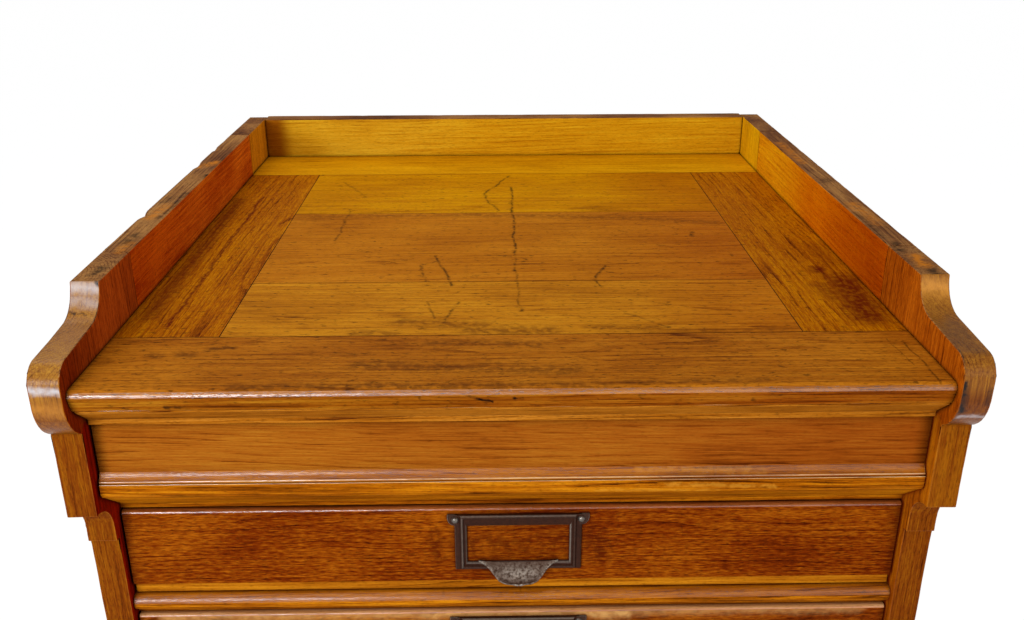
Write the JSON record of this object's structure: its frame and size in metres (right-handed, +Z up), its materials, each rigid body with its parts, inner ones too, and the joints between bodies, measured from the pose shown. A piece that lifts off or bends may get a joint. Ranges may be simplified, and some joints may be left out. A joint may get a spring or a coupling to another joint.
{
  "type": "filing chest",
  "caption": "Floor-standing wooden filing chest with shallow sliding drawers, steel label-frame pulls and a low gallery with scrolled ends round its top.",
  "frame": {"origin": "under the middle of the chest, on the floor", "axes": "+Z up; +Y from the drawer fronts towards the back; +X to the right as seen from the front"},
  "size_m": [0.644, 0.6834, 0.9424],
  "materials": {
    "top_oak": "waxed, worn golden oak",
    "frame_oak": "waxed oak",
    "drawer_front_oak": "waxed red-brown oak",
    "drawer_lining": "bare planed wood",
    "carcase_softwood": "bare planed softwood",
    "patinated_steel": "dark brown patina, worn grey on the lip",
    "screw_steel": "worn domed heads"
  },
  "bodies": {
    "carcase": {"back_boards": "carcase_softwood", "back_bottom_rail": "carcase_softwood", "bed_moulding": "frame_oak", "bottom_board": "carcase_softwood", "drawer_runners": "carcase_softwood", "drawer_stops": "carcase_softwood", "frieze_board": "frame_oak", "frieze_moulding": "frame_oak", "front_rails": "frame_oak", "gallery_back_board": "frame_oak", "glue_blocks": "carcase_softwood", "plinth_rail": "frame_oak", "side_left_front_stile": "frame_oak", "side_left_panels": "frame_oak", "side_left_rails": "frame_oak", "side_left_rear_stile": "frame_oak", "side_right_front_stile": "frame_oak", "side_right_panels": "frame_oak", "side_right_rails": "frame_oak", "side_right_rear_stile": "frame_oak", "top_back_board": "top_oak", "top_bearers": "carcase_softwood", "top_front_board": "top_oak", "top_planks": "top_oak", "top_side_boards": "top_oak"},
    "drawer_1": {"drawer_1_bottom": "drawer_lining", "drawer_1_box": "drawer_lining", "drawer_1_front": "drawer_front_oak", "drawer_1_pull": "patinated_steel", "drawer_1_screws": "screw_steel"},
    "drawer_2": {"drawer_2_bottom": "drawer_lining", "drawer_2_box": "drawer_lining", "drawer_2_front": "drawer_front_oak", "drawer_2_pull": "patinated_steel", "drawer_2_screws": "screw_steel"},
    "drawer_3": {"drawer_3_bottom": "drawer_lining", "drawer_3_box": "drawer_lining", "drawer_3_front": "drawer_front_oak", "drawer_3_pull": "patinated_steel", "drawer_3_screws": "screw_steel"},
    "drawer_4": {"drawer_4_bottom": "drawer_lining", "drawer_4_box": "drawer_lining", "drawer_4_front": "drawer_front_oak", "drawer_4_pull": "patinated_steel", "drawer_4_screws": "screw_steel"},
    "drawer_5": {"drawer_5_bottom": "drawer_lining", "drawer_5_box": "drawer_lining", "drawer_5_front": "drawer_front_oak", "drawer_5_pull": "patinated_steel", "drawer_5_screws": "screw_steel"},
    "drawer_6": {"drawer_6_bottom": "drawer_lining", "drawer_6_box": "drawer_lining", "drawer_6_front": "drawer_front_oak", "drawer_6_pull": "patinated_steel", "drawer_6_screws": "screw_steel"},
    "drawer_7": {"drawer_7_bottom": "drawer_lining", "drawer_7_box": "drawer_lining", "drawer_7_front": "drawer_front_oak", "drawer_7_pull": "patinated_steel", "drawer_7_screws": "screw_steel"}
  },
  "joints": [
    {"name": "drawer_1_slide", "type": "slide", "parent": "carcase", "child": "drawer_1", "axis": [0, -1, 0], "range_m": [0, 0.44]},
    {"name": "drawer_2_slide", "type": "slide", "parent": "carcase", "child": "drawer_2", "axis": [0, -1, 0], "range_m": [0, 0.44]},
    {"name": "drawer_3_slide", "type": "slide", "parent": "carcase", "child": "drawer_3", "axis": [0, -1, 0], "range_m": [0, 0.44]},
    {"name": "drawer_4_slide", "type": "slide", "parent": "carcase", "child": "drawer_4", "axis": [0, -1, 0], "range_m": [0, 0.44]},
    {"name": "drawer_5_slide", "type": "slide", "parent": "carcase", "child": "drawer_5", "axis": [0, -1, 0], "range_m": [0, 0.44]},
    {"name": "drawer_6_slide", "type": "slide", "parent": "carcase", "child": "drawer_6", "axis": [0, -1, 0], "range_m": [0, 0.44]},
    {"name": "drawer_7_slide", "type": "slide", "parent": "carcase", "child": "drawer_7", "axis": [0, -1, 0], "range_m": [0, 0.44]}
  ]
}
